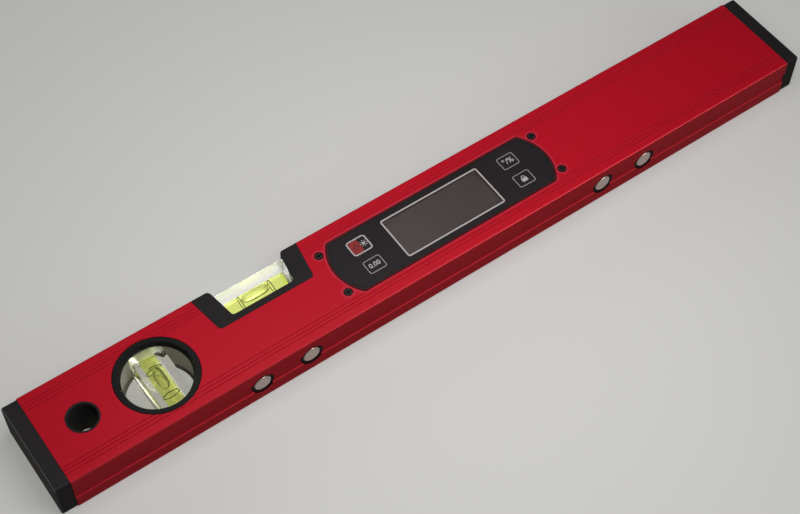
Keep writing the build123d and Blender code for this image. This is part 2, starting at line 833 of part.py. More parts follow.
# Keys: a pad flush with the film, a flange that holds it in and a stem on the switch's plunger
for key_name, (x, y, width, height) in keys.items():
    with BuildPart() as key:
        with BuildSketch(module_plane(key_flange_bottom)):
            with Locations((x, y)):
                RectangleRounded(width, height, key_corner)
        extrude(amount=panel_top - key_flange_bottom)
        with BuildSketch(module_plane(key_flange_bottom)):
            with Locations((x, y)):
                Rectangle(width + 2 * key_flange_reach, height + 2 * key_flange_reach)
        extrude(amount=key_flange)
        with BuildSketch(module_plane(plunger_top)):
            with Locations((x, y)):
                Circle(key_stem_radius)
        extrude(amount=key_flange_bottom - plunger_top)
    save(key, f"key_{key_name}")
    with BuildPart() as plunger:
        with BuildSketch(module_plane(switch_top - plunger_sink)):
            with Locations((x, y)):
                Circle(plunger_radius)
        extrude(amount=plunger_sink + plunger_rise)
    save(plunger, f"plunger_{key_name}")

# Front screws with cross recesses
with BuildPart() as module_screws:
    head_height = (screw_head_radius - screw_radius) / tan(radians(screw_head_angle / 2))
    with Locations(*[(x, y, section_depth - screw_sink) for x, y in screw_spots]):
        Cone(screw_radius, screw_head_radius, head_height, align=CENTER_DOWN)
        Cylinder(screw_radius, screw_length, align=CENTER_DOWN)
        Box(2 * screw_radius, recess_width, recess_depth, align=CENTER_DOWN, mode=Mode.SUBTRACT)
        Box(recess_width, 2 * screw_radius, recess_depth, align=CENTER_DOWN, mode=Mode.SUBTRACT)
save(module_screws, "module_screws")

# Battery box: a flush flange in the back wall, a pocket for the cells and a rebate for the door
with BuildPart() as battery_box:
    with BuildSketch(module_plane(0)):
        RectangleRounded(
            box_length + 2 * box_flange_reach,
            box_width + 2 * box_flange_reach,
            box_corner,
        )
    extrude(amount=box_flange)
    with BuildSketch(module_plane(0)):
        Rectangle(box_length, box_width)
    extrude(amount=box_depth)
    with BuildSketch(module_plane(0)):
        Rectangle(pocket_length, pocket_width)
    extrude(amount=pocket_top, mode=Mode.SUBTRACT)
    with BuildSketch(module_plane(0)):
        Rectangle(door_length + 2 * lid_gap, door_width + 2 * lid_gap)
    extrude(amount=door_inside + door_seat_gap, mode=Mode.SUBTRACT)
    # Sockets for the door's hinge pins
    with Locations((hinge_x, 0, hinge_z)):
        Cylinder(
            pin_radius + pin_gap,
            door_width + 2 * (pin_length + seat_gap),
            rotation=(90, 0, 0),
            mode=Mode.SUBTRACT,
        )
    # Slots in the roof for the two contacts that rise to the board
    with BuildSketch(module_plane(pocket_top)):
        slot_x = contact_thickness - pocket_length / 2
        with Locations((slot_x, cell_y), (slot_x, -cell_y)):
            Rectangle(2 * contact_thickness, contact_width + 2 * seat_gap)
    extrude(amount=box_roof, mode=Mode.SUBTRACT)
    # Snap hooks that catch behind the back wall
    for side in (-1, 1):
        hook_root = (module_x + side * box_length / 2, 0, wall + seat_gap)
        with BuildSketch(Plane(hook_root, (1, 0, 0), (0, -1, 0))):
            Polygon((0, 0), (side * hook_reach, 0), (0, hook_rise))
        extrude(amount=hook_width / 2, both=True)
save(battery_box, "battery_box")

# Battery door: a plate with a rounded hinge edge, two pins and a thumb scoop
with BuildPart() as battery_door:
    with BuildSketch(Plane((hinge_x, 0, door_recess))):
        Rectangle(door_length - door_thickness / 2, door_width, align=(Align.MIN, Align.CENTER))
    extrude(amount=door_thickness)
    with Locations((hinge_x, 0, hinge_z)):
        Cylinder(door_thickness / 2, door_width, rotation=(90, 0, 0))
        Cylinder(pin_radius, door_width + 2 * pin_length, rotation=(90, 0, 0))
    with BuildSketch(Plane((module_x + door_length / 2, 0, door_recess))):
        Circle(scoop_radius)
    extrude(amount=scoop_depth, mode=Mode.SUBTRACT)
save(battery_door, "battery_door")

# Cells lie head to tail
with BuildPart() as battery_cells:
    for side, nub_x, heading in ((1, pocket_left, 1), (-1, pocket_right, -1)):
        nub_middle = (nub_x + heading * contact_thickness, side * cell_y, cell_z)
        nub_plane = Plane(nub_middle, (0, 1, 0), (heading, 0, 0))
        with BuildSketch(nub_plane):
            Circle(nub_radius)
        extrude(amount=nub_length)
        with BuildSketch(nub_plane.offset(nub_length)):
            Circle(cell_radius)
        extrude(amount=cell_length - nub_length)
save(battery_cells, "battery_cells")


def contact_plate(wall_x, heading, low_y, high_y, top):
    """Flat sheet against the pocket's end wall."""
    middle = Vector(wall_x, (low_y + high_y) / 2, (contact_foot + top) / 2)
    with BuildSketch(Plane(middle, (0, 1, 0), (heading, 0, 0))) as sheet:
        Rectangle(high_y - low_y, top - contact_foot)
    extrude(sheet.sketch, amount=contact_thickness)


def contact_leaf(wall_x, heading, middle_y):
    """Sprung tongue bent out from the sheet to the cell's flat end."""
    reach = pocket_length - cell_length - contact_thickness
    root = contact_thickness
    with BuildSketch(Plane((wall_x, middle_y, cell_z), (heading, 0, 0), (0, -heading, 0))) as tongue:
        Polygon(
            (root, -leaf_spread),
            (reach, 0),
            (root + leaf_return, leaf_spread),
            (leaf_return, leaf_spread),
            (reach - root, 0),
            (root, root - leaf_spread),
        )
    extrude(tongue.sketch, amount=leaf_width / 2, both=True)


half_contact = contact_width / 2
with BuildPart() as contact_positive:
    contact_plate(pocket_left, 1, cell_y - half_contact, cell_y + half_contact, board_bottom)
save(contact_positive, "contact_positive")

with BuildPart() as contact_negative:
    contact_plate(pocket_left, 1, -cell_y - half_contact, half_contact - cell_y, board_bottom)
    contact_leaf(pocket_left, 1, -cell_y)
save(contact_negative, "contact_negative")

with BuildPart() as contact_bridge:
    contact_plate(pocket_right, -1, -cell_y - half_contact, cell_y + half_contact, cell_z + cell_radius)
    contact_leaf(pocket_right, -1, cell_y)
save(contact_bridge, "contact_bridge")
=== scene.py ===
"""Looks of the digital spirit level: satin red section, black mouldings, vials, printed panel and stage."""

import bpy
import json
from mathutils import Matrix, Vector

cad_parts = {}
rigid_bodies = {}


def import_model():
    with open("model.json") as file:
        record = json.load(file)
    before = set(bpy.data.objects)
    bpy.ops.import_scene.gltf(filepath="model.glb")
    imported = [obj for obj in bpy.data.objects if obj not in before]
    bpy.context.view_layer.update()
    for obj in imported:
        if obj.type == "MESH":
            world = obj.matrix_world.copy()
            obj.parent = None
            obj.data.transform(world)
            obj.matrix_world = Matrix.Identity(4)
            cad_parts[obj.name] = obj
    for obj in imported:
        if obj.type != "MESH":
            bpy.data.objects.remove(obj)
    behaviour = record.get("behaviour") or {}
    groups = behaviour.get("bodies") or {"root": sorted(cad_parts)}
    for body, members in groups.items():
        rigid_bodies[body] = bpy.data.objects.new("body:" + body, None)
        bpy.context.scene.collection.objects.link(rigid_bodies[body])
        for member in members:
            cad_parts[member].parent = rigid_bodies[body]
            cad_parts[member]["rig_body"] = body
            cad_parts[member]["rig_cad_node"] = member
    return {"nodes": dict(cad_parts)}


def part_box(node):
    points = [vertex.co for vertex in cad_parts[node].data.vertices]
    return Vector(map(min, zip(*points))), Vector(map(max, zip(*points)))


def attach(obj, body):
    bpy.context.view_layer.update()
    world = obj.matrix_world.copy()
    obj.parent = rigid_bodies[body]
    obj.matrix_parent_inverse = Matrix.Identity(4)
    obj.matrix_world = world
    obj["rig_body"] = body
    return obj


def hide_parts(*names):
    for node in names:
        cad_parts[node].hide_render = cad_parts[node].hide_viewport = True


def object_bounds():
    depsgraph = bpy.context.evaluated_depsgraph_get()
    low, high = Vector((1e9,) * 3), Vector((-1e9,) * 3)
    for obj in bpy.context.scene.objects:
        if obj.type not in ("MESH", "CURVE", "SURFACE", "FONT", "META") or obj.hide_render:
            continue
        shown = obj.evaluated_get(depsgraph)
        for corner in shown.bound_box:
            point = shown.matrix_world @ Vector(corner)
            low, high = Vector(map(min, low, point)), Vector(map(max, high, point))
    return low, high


bl_info = {
    "name": "Digital spirit level",
    "version": (1, 0, 0),
    "blender": (4, 5, 0),
    "location": "3D View > Sidebar > Level",
    "description": "Dresses the digital spirit level and sets it on a studio floor",
    "category": "Object",
}

import json
from functools import partial
from math import cos, pi, radians, sin

import bpy
from bpy.props import FloatProperty, FloatVectorProperty, PointerProperty
from mathutils import Matrix, Vector

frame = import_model()
cad_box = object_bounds()
MM = 0.001
WHITE = (1.0, 1.0, 1.0, 1.0)
KEYS = ("power", "zero", "mode", "hold")

# Measures of the solids that finishes and print follow
MAGNET_SPACING = 24.6 * MM
SCREW_HEAD = 1.9 * MM
PANEL_SEAT = Vector((1.3, 1.3, 0.0)) * MM
PANEL_BOW = 5.6 * MM
BARREL_CROWN = 0.15 * MM
BUBBLE_RADIUS = 2.6 * MM
# Width, height and corner radius of the printed key outlines
KEY_FIELD = (8.8 * MM, 7.3 * MM, 1.1 * MM)
POWER_FIELD = (9.9 * MM, 8.5 * MM, 1.5 * MM)

# The rounded long edges of the section: the strip that they lie in, and how far a face leans to an axis
# where a finish begins and where it is full
EDGE_STRIP = 2.5 * MM
EDGE_DULL = (("Y", 0.08, 0.2), ("Z", 0.5, 0.7))
# The second span is where the edges are smoother, more metallic and carry a painted highlight
EDGE_HIGHLIT = (("Y", 0.5, 0.62), ("Z", 0.2, 0.4))

# Place, width and height of each lamp, and the spot that all face
LAMPS = {
    "overhead": ((-0.02, -0.055, 0.29), 0.36, 0.36),
    "front": ((0.55, -0.9, 0.53), 0.75, 0.28),
    "rear": ((-0.35, 0.95, 0.45), 1.0, 0.4),
    "underside": ((0.0, 0.0, -0.9), 0.3, 0.3),
}
LAMP_AIM = Vector((-0.03, 0.0, 0.02))
# Strength of the floor's own light and its share, and of the floor seen through clear pieces and in gloss
FLOOR_GLOW, FLOOR_SHARE, FLOOR_THROUGH, FLOOR_IN_GLOSS = 0.88, 0.45, 0.68, 0.2
FLOOR_SIZE = 14.0
BACKDROP = 0.75
CAMERA_SPOT = Vector((-0.253734, -0.327748, 0.59048))
CAMERA_LOOK = Vector((0.333, 0.46031, -0.82294))
CAMERA_UP = Vector((0.47105, 0.67483, 0.56808))


def linear(code):
    """An sRGB hex colour as linear red, green, blue and alpha."""
    channels = [int(code[at:at + 2], 16) / 255 for at in (0, 2, 4)]
    return tuple(c / 12.92 if c <= 0.04045 else ((c + 0.055) / 1.055) ** 2.4 for c in channels) + (1.0,)


def colour(name, description, code):
    """A colour that a user may change, with its default as an sRGB hex value."""
    return FloatVectorProperty(
        name=name, description=description, subtype="COLOR", size=4, min=0.0, max=1.0, default=linear(code)
    )


def length(name, description, millimetres):
    """A length that a user may change, with its default in millimetres."""
    return FloatProperty(name=name, description=description, unit="LENGTH", default=millimetres * MM)


def power(name, description, watts):
    """The power of a lamp that a user may change, with its default in watts."""
    return FloatProperty(name=name, description=description, unit="POWER", default=watts)


class LevelColours(bpy.types.PropertyGroup):
    """Colours of the level's finishes."""

    section: colour("Section", "Dyed coat of the aluminium section", "BA1225")
    moulding: colour("Mouldings", "Bushes, cradle, housing, battery box and cups", "1B1819")
    bezel: colour("Bezels", "Rings of the plumb window", "0D0D0D")
    cap: colour("End caps", "Caps on both ends of the section", "201D1E")
    film: colour("Panel film", "Printed film over the display housing", "1E1B1D")
    ink: colour("Print", "Outlines of the display and the power key, and signs", "B9B2B1")
    key_ink: colour("Key print", "Outlines of the other keys", "9A9392")
    key_red: colour("Power key", "Red field printed on the power key", "911A1E")
    display: colour("Display", "Face of the display at rest", "483D3B")
    fluid: colour("Vial fluid", "Dyed spirit in the vials", "EEF59A")
    acrylic: colour("Acrylic", "Clear vial blocks and windows", "FCFCF9")
    magnet: colour("Magnets", "Nickel plate on the magnets", "FFE7DC")
    sight_wall: colour("Sight wall", "Pale inside of the plumb window", "948E8A")
    floor: colour("Floor", "Studio floor under the level", "DAD9D6")


class LevelSizes(bpy.types.PropertyGroup):
    """Sizes of what is drawn on and in the level."""

    print_rise: length("Print thickness", "Height of the ink above the film", 0.02)
    frame_line: length("Display outline", "Width of the line round the display", 0.75)
    power_line: length("Power key outline", "Width of the line round the power key", 0.65)
    key_line: length("Key outlines", "Width of the lines round the other keys", 0.4)
    level_bubble: length("Level bubble", "Length of the bubble in the level vial", 14.4)
    plumb_bubble: length("Plumb bubble", "Length of the bubble in the plumb vial", 10.8)
    glass_gap: length("Glass gap", "Air left between two clear pieces that touch", 0.03)


class LevelStage(bpy.types.PropertyGroup):
    """Studio light and camera."""

    overhead: power("Overhead", "Power of the round lamp above", 0.86)
    front: power("Front", "Power of the long lamp in front", 2.05)
    rear: power("Rear", "Power of the long lamp behind", 1.4)
    underside: power("Underside", "Power of the round lamp below", 4.0)
    sky: FloatProperty(name="Sky", description="Strength of the even light from all sides", default=0.06)
    lens: FloatProperty(
        name="Lens", description="Focal length on a 36 mm sensor", unit="CAMERA", default=71.6
    )


# Tools shared by the pieces


def add_node(tree, kind, inputs=None, pick=None, **settings):
    """Adds a shader node with its settings, and gives its picked output, or else the first in use.

    An input is named, or numbered where names repeat. It gets a value, or the output that it is linked to.
    """
    node = tree.nodes.new("ShaderNode" + kind)
    for name, value in settings.items():
        setattr(node, name, value)
    for name, value in (inputs or {}).items():
        in_use = [socket for socket in node.inputs if socket.enabled]
        socket = in_use[name] if isinstance(name, int) else next(s for s in in_use if s.name == name)
        if isinstance(value, bpy.types.NodeSocket):
            tree.links.new(value, socket)
        else:
            socket.default_value = value
    if pick:
        return node.outputs[pick]
    return next((socket for socket in node.outputs if socket.enabled), None)


def start_material(name):
    """An empty material, the function that adds its nodes, and the object's own coordinates in metres."""
    material = bpy.data.materials.new(name)
    material.use_nodes = True
    material.node_tree.nodes.clear()
    add = partial(add_node, material.node_tree)
    return material, add, add("TexCoord", pick="Object")


def close_material(material, shader, volume=None):
    """Links the finished shader to the material's output and hands the material back."""
    inputs = {"Surface": shader}
    if volume is not None:
        inputs["Volume"] = volume
    add_node(material.node_tree, "OutputMaterial", inputs)
    return material


def per(millimetres):
    """The texture scale, per metre, of a pattern that repeats at this size."""
    return 1.0 / (millimetres * MM)


def shade(tint, factor, lift=0.0):
    """A darker or lighter tone of a linear colour."""
    return tuple(min(1.0, c * factor + lift) for c in tint[:3]) + (1.0,)


def dress(material, *names):
    """Gives CAD nodes their material."""
    for name in names:
        mesh = frame["nodes"][name].data
        mesh.materials.clear()
        mesh.materials.append(material)


def begin():
    """Leaves edit mode and clears the selection, so that the next tool acts on one piece alone."""
    if bpy.context.mode != "OBJECT":
        bpy.ops.object.mode_set(mode="OBJECT")
    bpy.ops.object.select_all(action="DESELECT")


def edit_all():
    """Opens the active piece in edit mode with everything selected."""
    bpy.ops.object.mode_set(mode="EDIT")
    bpy.ops.mesh.select_mode(type="FACE")
    bpy.ops.mesh.select_all(action="SELECT")


def edit_faces(test):
    """Opens the active piece in edit mode with the faces selected whose corners all pass the test."""
    edit_all()
    bpy.ops.mesh.select_all(action="DESELECT")
    bpy.ops.object.mode_set(mode="OBJECT")
    mesh = bpy.context.object.data
    for face in mesh.polygons:
        face.select = all(test(mesh.vertices[i].co) for i in face.vertices)
    bpy.ops.object.mode_set(mode="EDIT")


def copy_node(name):
    """Makes a free copy of a CAD node with its triangles merged, and leaves it active."""
    begin()
    source = frame["nodes"][name]
    source.select_set(True)
    bpy.context.view_layer.objects.active = source
    bpy.ops.object.duplicate()
    bpy.ops.object.parent_clear(type="CLEAR_KEEP_TRANSFORM")
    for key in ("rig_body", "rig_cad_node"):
        del bpy.context.object[key]
    edit_all()
    bpy.ops.mesh.remove_doubles(threshold=1e-6)
    bpy.ops.object.mode_set(mode="OBJECT")


def finish_piece(name, material, body, smooth=35.0):
    """Closes the active piece: merged, facing outwards, placed in its mesh, named, coloured and riding."""
    if bpy.context.mode != "OBJECT":
        bpy.ops.object.mode_set(mode="OBJECT")
    bpy.ops.object.transform_apply(location=True, rotation=True, scale=True)
    edit_all()
    bpy.ops.mesh.remove_doubles(threshold=1e-6)
    bpy.ops.mesh.normals_make_consistent(inside=False)
    bpy.ops.object.mode_set(mode="OBJECT")
    bpy.ops.object.shade_smooth_by_angle(angle=radians(smooth))
    piece = bpy.context.object
    piece.name = piece.data.name = name
    piece.data.materials.clear()
    piece.data.materials.append(material)
    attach(piece, body)
    return piece


# Finishes


def away_from(add, place, middle):
    """How far a spot lies from a middle along each axis, to either side."""
    off = add("VectorMath", {0: place, 1: middle}, operation="SUBTRACT")
    return add("VectorMath", {0: off}, operation="ABSOLUTE")


def satin_red_aluminium(red):
    """Extruded aluminium, etched and dyed: satin red, with long fine die lines, and long edges that are
    smoother, more metallic and carry a painted highlight.
    """
    material, add, place = start_material("extruded aluminium, satin red")
    low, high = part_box("body_profile")
    half = (high.z - low.z) / 2
    # Die lines run the whole length. They are drawn 0.6 mm apart, coarser than real, so that they show.
    drawn = add("Mapping", {"Vector": place, "Scale": (per(160), per(0.6), per(0.6))})
    lines = add("TexNoise", {"Vector": drawn, "Scale": 1.0, "Detail": 3.0})
    patches = add("TexNoise", {"Vector": place, "Scale": per(60), "Detail": 2.0})
    mixed = add("Math", {0: lines, 1: patches}, operation="ADD")
    share = add("MapRange", {"Value": mixed, "From Min": 0.7, "From Max": 1.3})
    deep, light = shade(red, 0.965), shade(red, 1.035)
    tone = add("Mix", {"Factor": share, "A": deep, "B": light}, data_type="RGBA", label="Dye")
    gloss = add(
        "MapRange", {"Value": lines, "From Min": 0.3, "From Max": 0.7, "To Min": 0.3, "To Max": 0.4}
    )
    # Along the long edges the coat is dull where the round begins. The rest of the round and the channel's
    # lips are smoother and more metallic, and are painted a little paler as a painted highlight.
    away = add("SeparateXYZ", {0: away_from(add, place, (low + high) / 2)}).node.outputs
    outer = add("Math", {0: away["Y"], 1: high.y - EDGE_STRIP}, operation="GREATER_THAN")
    facing = add("TexCoord", pick="Normal")
    facing = add("VectorMath", {0: facing}, operation="ABSOLUTE")
    facing = add("SeparateXYZ", {0: facing}).node.outputs
    slants = []
    for limits in (EDGE_DULL, EDGE_HIGHLIT):
        slant = outer
        for axis, start, full in limits:
            turn = add("MapRange", {"Value": facing[axis], "From Min": start, "From Max": full})
            slant = add("Math", {0: turn, 1: slant}, operation="MULTIPLY")
        slants.append(slant)
    dull, highlit = slants
    gloss = add("Mix", {"Factor": dull, "A": gloss, "B": 0.7})
    outward = add(
        "MapRange",
        {"Value": away["Z"], "From Min": half - 4 * MM, "From Max": half - 2 * MM, "To Min": 0.3},
    )
    highlit = add("Math", {0: highlit, 1: outward}, operation="MULTIPLY")
    # Painted highlight: the rounds and lips are painted paler than the coat
    marks = [(highlit, shade(red, 1.25, 0.03), 0.2)]
    bare = add("MapRange", {"Value": highlit, "To Min": 0.06, "To Max": 0.5})
    # The grooves just under both faces are painted darker and made rougher: painted shade in the grooves,
    # which reads as darker lines
    groove, spread = half - 0.19 * MM, 0.16 * MM
    sunk = add("Math", {0: away["Z"], 1: groove, 2: spread}, operation="COMPARE")
    inner = add("Math", {0: away["Y"], 1: high.y - 3 * MM}, operation="LESS_THAN")
    groove_shade = add("Math", {0: sunk, 1: inner}, operation="MULTIPLY")
    marks.append((groove_shade, shade(red, 0.81), 0.7))
    # Round the panel and the screws, the cut edge is painted dark as painted shade of the seat, with a pale
    # line outside it as a painted highlight
    reach = panel_reach(add, place)
    front = add("SeparateXYZ", {0: place}, "Z")
    front = add("Math", {0: front, 1: high.z - 3 * MM}, operation="GREATER_THAN")
    for middle, width, mark in (
        (0.0, 0.3 * MM, shade(red, 0.4)),
        (0.75 * MM, 0.35 * MM, (red[0], red[1] + 0.02, red[2] + 0.032, 1.0)),
    ):
        line = add("Math", {0: reach, 1: middle, 2: width}, operation="COMPARE")
        line = add("Math", {0: line, 1: front}, operation="MULTIPLY")
        marks.append((line, mark, None))
    # A dark ring is painted round the magnet cups in the measuring edge, most of it above them: painted
    # shade of the recesses
    rise, ring = (0.0, 0.0, 0.35 * MM), 5.65 * MM
    above = add("VectorMath", {0: place, 1: rise}, operation="SUBTRACT")
    near = add("Math", {0: magnet_reach(add, above), 1: ring}, operation="LESS_THAN")
    base = add("SeparateXYZ", {0: place}, "Y")
    base = add("Math", {0: base, 1: low.y + 1.5 * MM}, operation="LESS_THAN")
    cup_shade = add("Math", {0: near, 1: base}, operation="MULTIPLY")
    marks.append((cup_shade, shade(red, 0.06, 0.004), None))
    for mask, mark, roughness in marks:
        tone = add("Mix", {"Factor": mask, "A": tone, "B": mark}, data_type="RGBA")
        if roughness:
            gloss = add("Mix", {"Factor": mask, "A": gloss, "B": roughness})
    relief = add("Bump", {"Height": lines, "Strength": 0.06, "Distance": 0.02 * MM})
    shader = add(
        "BsdfPrincipled",
        {
            "Base Color": tone,
            "Metallic": bare,
            "Roughness": gloss,
            "Specular IOR Level": 0.16,
            "Normal": relief,
        },
    )
    return close_material(material, shader)


def screw_offset(add, place):
    """The way on the front from the nearest panel screw, and the way from the middle of all four."""
    low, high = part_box("module_screws")
    half = (high - low) / 2
    off = away_from(add, place, (low + high) / 2)
    off = add("VectorMath", {0: off, 1: (1.0, 1.0, 0.0)}, operation="MULTIPLY")
    spot = (half.x - SCREW_HEAD, half.y - SCREW_HEAD, 0.0)
    return add("VectorMath", {0: off, 1: spot}, operation="SUBTRACT"), off


def screw_recess_shade(add, place):
    """Where painted shade lies on the panel screws: black in the cross recess and round the edge of the
    head.
    """
    off = screw_offset(add, place)[0]
    reach = add("VectorMath", {0: off}, operation="LENGTH")
    edge = add("Math", {0: reach, 1: SCREW_HEAD - 0.4 * MM}, operation="GREATER_THAN")
    off = add("VectorMath", {0: off}, operation="ABSOLUTE")
    axes = add("SeparateXYZ", {0: off}).node.outputs
    arm = add("Math", {0: axes["X"], 1: axes["Y"]}, operation="MINIMUM")
    arm = add("Math", {0: arm, 1: 0.34 * MM}, operation="LESS_THAN")
    return add("Math", {0: arm, 1: edge}, operation="MAXIMUM")


def panel_reach(add, place):
    """How far a spot on the front lies outside the panel or a screw head, whichever is nearer."""
    low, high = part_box("overlay_film")
    half = (high - low) / 2 + PANEL_SEAT
    curve = (half.y ** 2 + PANEL_BOW ** 2) / (2 * PANEL_BOW)
    screw, off = screw_offset(add, place)
    across = add("SeparateXYZ", {0: off}, "Y")
    side = add("Math", {0: across, 1: half.y}, operation="SUBTRACT")
    end = add("VectorMath", {0: off, 1: (half.x - curve, 0.0, 0.0)}, operation="SUBTRACT")
    end = add("VectorMath", {0: end, 1: (0.0, 0.0, 0.0)}, operation="MAXIMUM")
    end = add("VectorMath", {0: end}, operation="LENGTH")
    end = add("Math", {0: end, 1: curve}, operation="SUBTRACT")
    panel = add("Math", {0: side, 1: end, 2: 0.8 * MM}, operation="SMOOTH_MAX")
    screw = add("VectorMath", {0: screw}, operation="LENGTH")
    screw = add("Math", {0: screw, 1: SCREW_HEAD}, operation="SUBTRACT")
    return add("Math", {0: panel, 1: screw}, operation="MINIMUM")


def magnet_reach(add, place):
    """How far a spot on the measuring edge lies from the axis of the nearest magnet, in metres."""
    low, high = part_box("base_magnets")
    middle, half = (low + high) / 2, (high - low) / 2
    spread = half.x - half.z - MAGNET_SPACING / 2
    spot = add("VectorMath", {0: place, 1: middle}, operation="SUBTRACT")
    spot = add("VectorMath", {0: spot, 1: (1.0, 0.0, 1.0)}, operation="MULTIPLY")
    for step in (spread, MAGNET_SPACING / 2):
        spot = add("VectorMath", {0: spot}, operation="ABSOLUTE")
        spot = add("VectorMath", {0: spot, 1: (step, 0.0, 0.0)}, operation="SUBTRACT")
    return add("VectorMath", {0: spot}, operation="LENGTH")


def nickel_magnet(tint):
    """Nickel-plated magnet: a pale satin face, scuffed by work, and a broken edge that is smoother and more
    metallic.
    """
    material, add, place = start_material("magnet, nickel plated")
    wear = add("TexNoise", {"Vector": place, "Scale": per(1.1), "Detail": 4.0})
    share = add("MapRange", {"Value": wear, "From Min": 0.3, "From Max": 0.6})
    tone = add("Mix", {"Factor": share, "A": shade(tint, 0.72), "B": tint}, data_type="RGBA")
    low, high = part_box("base_magnets")
    rim = (high.z - low.z) / 2 - 0.42 * MM
    edge = add("Math", {0: magnet_reach(add, place), 1: rim}, operation="GREATER_THAN")
    gloss = add("MapRange", {"Value": wear, "To Min": 0.3, "To Max": 0.45})
    gloss = add("Mix", {"Factor": edge, "A": gloss, "B": 0.25})
    bare = add("MapRange", {"Value": edge, "To Min": 0.1, "To Max": 0.6})
    shader = add("BsdfPrincipled", {"Base Color": tone, "Metallic": bare, "Roughness": gloss})
    return close_material(material, shader)


def moulded_abs(name, tint, low, high, grit, *fields):
    """Moulded plastic: the even grain of a spark-eroded mould, a soft gloss, and fields of another tone.

    Low and high are the least and the most roughness, grit is the size of the grain in millimetres.
    """
    material, add, place = start_material(name)
    grain = add("TexNoise", {"Vector": place, "Scale": per(grit), "Detail": 4.0})
    cloud = add("TexNoise", {"Vector": place, "Scale": per(22), "Detail": 2.0})
    pale = shade(tint, 1.45, 0.002)
    tone = add("Mix", {"Factor": cloud, "A": tint, "B": pale}, data_type="RGBA")
    for inner, within in fields:
        mask = within(add, place)
        tone = add("Mix", {"Factor": mask, "A": tone, "B": inner}, data_type="RGBA")
    gloss = add("MapRange", {"Value": grain, "To Min": low, "To Max": high})
    relief = add("Bump", {"Height": grain, "Strength": 0.25, "Distance": 0.03 * MM})
    shader = add(
        "BsdfPrincipled",
        {"Base Color": tone, "Roughness": gloss, "Specular IOR Level": 0.18, "Normal": relief},
    )
    return close_material(material, shader)


def sight_wall(add, place):
    """Where the plumb bezels line the sight: inside the tube, up to the front window."""
    low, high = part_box("plumb_window_front")
    middle = (low + high) / 2
    axis = (middle.x, middle.y, 0.0)
    flat = add("VectorMath", {0: place, 1: axis}, operation="SUBTRACT")
    flat = add("VectorMath", {0: flat, 1: (1.0, 1.0, 0.0)}, operation="MULTIPLY")
    reach = add("VectorMath", {0: flat}, operation="LENGTH")
    height = add("SeparateXYZ", {0: place}, "Z")
    bore = high.x - middle.x + 0.2 * MM
    inside = add("Math", {0: reach, 1: bore}, operation="LESS_THAN")
    below = add("Math", {0: height, 1: high.z + 0.03 * MM}, operation="LESS_THAN")
    return add("Math", {0: inside, 1: below}, operation="MULTIPLY")


def highlit_corner(add, place):
    """Where a cap is painted paler as a painted highlight: the narrow round between its end and its sides.
    """
    facing = add("TexCoord", pick="Normal")
    along = add("SeparateXYZ", {0: facing}, "X")
    lean = add("Math", {0: along}, operation="ABSOLUTE")
    begun = add("Math", {0: lean, 1: 0.25}, operation="GREATER_THAN")
    ended = add("Math", {0: lean, 1: 0.97}, operation="LESS_THAN")
    return add("Math", {0: begun, 1: ended}, operation="MULTIPLY")


def window_rim(add, place):
    """Where the housing frames the display: the ledge under the lens and its inner wall, painted in the
    display's colour as painted light where they lie in shade.
    """
    low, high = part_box("display_lens")
    half = (high - low) / 2
    off = add("SeparateXYZ", {0: away_from(add, place, (low + high) / 2)}).node.outputs
    along = add("Math", {0: off["X"], 1: half.x}, operation="LESS_THAN")
    across = add("Math", {0: off["Y"], 1: half.y}, operation="LESS_THAN")
    return add("Math", {0: along, 1: across}, operation="MULTIPLY")


def seat_rim(add, place):
    """Where the housing meets the section's cut edge: a painted reflection of the section's red."""
    reach = panel_reach(add, place)
    return add("Math", {0: reach, 1: -0.85 * MM}, operation="GREATER_THAN")


def see_through(add, shader, tint):
    """Lets light for the shadows pass straight through a clear piece, tinted by it."""
    clear = add("BsdfTransparent", {"Color": tint})
    shadow = add("LightPath", pick="Is Shadow Ray")
    return add("MixShader", {0: shadow, 1: shader, 2: clear})


def cast_acrylic(name, tint, rough, ends=None, matt_below=None, glued=None):
    """Clear acrylic, polished: bends what lies behind it and mirrors a little.

    Ends that face along an axis are sawn, a rear face is matt below a height, and a plugged end is cloudy
    with glue from a place in Y and Z on.
    """
    material, add, place = start_material(name)
    haze = add("TexNoise", {"Vector": place, "Scale": per(8), "Detail": 3.0})
    gloss = add("MapRange", {"Value": haze, "To Max": rough})
    tone, fields = tint, []
    if ends:
        facing = add("TexCoord", pick="Normal")
        lean = add("VectorMath", {0: facing, 1: ends}, operation="DOT_PRODUCT")
        square = add("Math", {0: lean}, operation="ABSOLUTE")
        fields.append((add("MapRange", {"Value": square, "From Min": 0.85, "From Max": 0.95}), 0.5))
    if matt_below:
        height = add("SeparateXYZ", {0: place}, "Z")
        fields.append((add("Math", {0: height, 1: matt_below}, operation="LESS_THAN"), 0.45))
    if glued:
        across = add("SeparateXYZ", {0: place}).node.outputs
        end = add("Math", {0: across["Y"], 1: glued[0]}, operation="GREATER_THAN")
        front = add("Math", {0: across["Z"], 1: glued[1]}, operation="GREATER_THAN")
        cloudy = add("Math", {0: end, 1: front}, operation="MULTIPLY")
        milky = linear("E6E9CC")
        tone = add("Mix", {"Factor": cloudy, "A": tint, "B": milky}, data_type="RGBA")
        fields.append((cloudy, 0.6))
    for matt, roughness in fields:
        ground = add("Math", {0: matt, 1: roughness}, operation="MULTIPLY")
        gloss = add("Math", {0: gloss, 1: ground}, operation="MAXIMUM")
    glass = add(
        "BsdfPrincipled",
        {"Base Color": tone, "Roughness": gloss, "IOR": 1.49, "Transmission Weight": 1.0},
    )
    return close_material(material, see_through(add, glass, tint))


